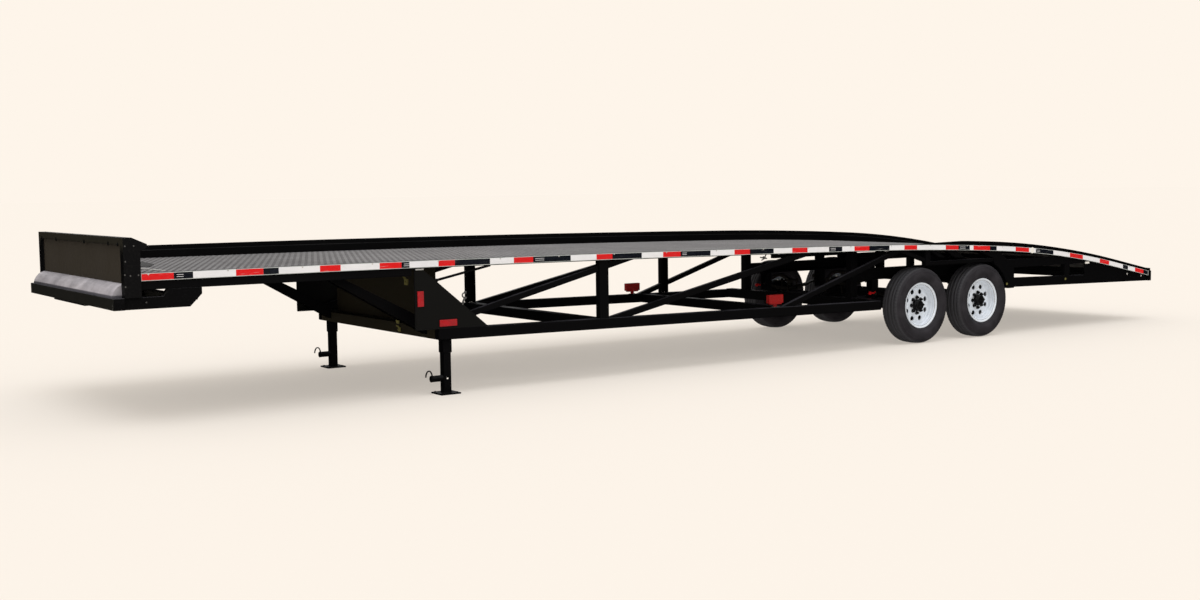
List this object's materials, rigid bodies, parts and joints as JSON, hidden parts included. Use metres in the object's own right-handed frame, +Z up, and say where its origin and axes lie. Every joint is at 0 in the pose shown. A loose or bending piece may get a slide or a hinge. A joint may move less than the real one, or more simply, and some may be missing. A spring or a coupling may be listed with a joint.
{
  "type": "car transporter trailer",
  "caption": "Wedge-deck car hauler semi-trailer with side trusses, curved grating deck, headboard, kingpin nose, drop legs and a tandem wheel bay.",
  "frame": {"origin": "on the floor under the middle of the trailer's bounding box", "axes": "+X forward to the nose, +Y to the trailer's left, +Z up"},
  "size_m": [12.29, 2.44, 1.36],
  "materials": {
    "black_paint": "gloss",
    "bare_steel": "satin",
    "panel_paint": "satin",
    "deck_steel": "matte",
    "marking": "gloss",
    "lamp_red": "gloss",
    "tyre": "matte",
    "wheel_paint": "satin",
    "hub_black": "satin"
  },
  "bodies": {
    "chassis": {"axle_front": "black_paint", "axle_rear": "black_paint", "bay_frame_front": "black_paint", "bay_frame_rear": "black_paint", "bay_tie_left": "black_paint", "bay_tie_right": "black_paint", "coupler_plate": "black_paint", "curb_right": "black_paint", "deck_cross_members": "black_paint", "deck_grating": "deck_steel", "gusset_left": "black_paint", "gusset_right": "black_paint", "headboard_frame": "black_paint", "headboard_panels": "panel_paint", "kingpin": "bare_steel", "knee_braces": "black_paint", "landing_bulkhead": "black_paint", "leaf_springs_left": "black_paint", "leaf_springs_right": "black_paint", "leg_inner_left": "black_paint", "leg_inner_right": "black_paint", "leg_outer_left": "black_paint", "leg_outer_right": "black_paint", "lower_chord_left": "black_paint", "lower_chord_right": "black_paint", "lower_cross_members": "black_paint", "marking_strip_left": "marking", "marking_strip_right": "marking", "nose_frame": "black_paint", "nose_sheet": "bare_steel", "rear_end_plate": "black_paint", "rear_frame_left": "black_paint", "rear_frame_right": "black_paint", "side_lamp_left": "lamp_red", "side_lamp_right": "lamp_red", "side_rail_left": "black_paint", "side_rail_right": "black_paint", "suspension_rail_left": "black_paint", "suspension_rail_right": "black_paint", "truss_web_left": "black_paint", "truss_web_right": "black_paint"},
    "wheel_front_left": {"hub_front_left": "hub_black", "rim_front_left": "wheel_paint", "tyre_front_left": "tyre"},
    "wheel_front_right": {"hub_front_right": "hub_black", "rim_front_right": "wheel_paint", "tyre_front_right": "tyre"},
    "wheel_rear_left": {"hub_rear_left": "hub_black", "rim_rear_left": "wheel_paint", "tyre_rear_left": "tyre"},
    "wheel_rear_right": {"hub_rear_right": "hub_black", "rim_rear_right": "wheel_paint", "tyre_rear_right": "tyre"}
  },
  "joints": [
    {"name": "wheel_spin_front_left", "type": "hinge", "parent": "chassis", "child": "wheel_front_left", "pos_m": [-2.135, 1.0935, 0.3985], "axis": [0, 1, 0], "continuous": true},
    {"name": "wheel_spin_front_right", "type": "hinge", "parent": "chassis", "child": "wheel_front_right", "pos_m": [-2.135, -1.0935, 0.3985], "axis": [0, 1, 0], "continuous": true},
    {"name": "wheel_spin_rear_left", "type": "hinge", "parent": "chassis", "child": "wheel_rear_left", "pos_m": [-3.1, 1.0935, 0.3985], "axis": [0, 1, 0], "continuous": true},
    {"name": "wheel_spin_rear_right", "type": "hinge", "parent": "chassis", "child": "wheel_rear_right", "pos_m": [-3.1, -1.0935, 0.3985], "axis": [0, 1, 0], "continuous": true}
  ]
}
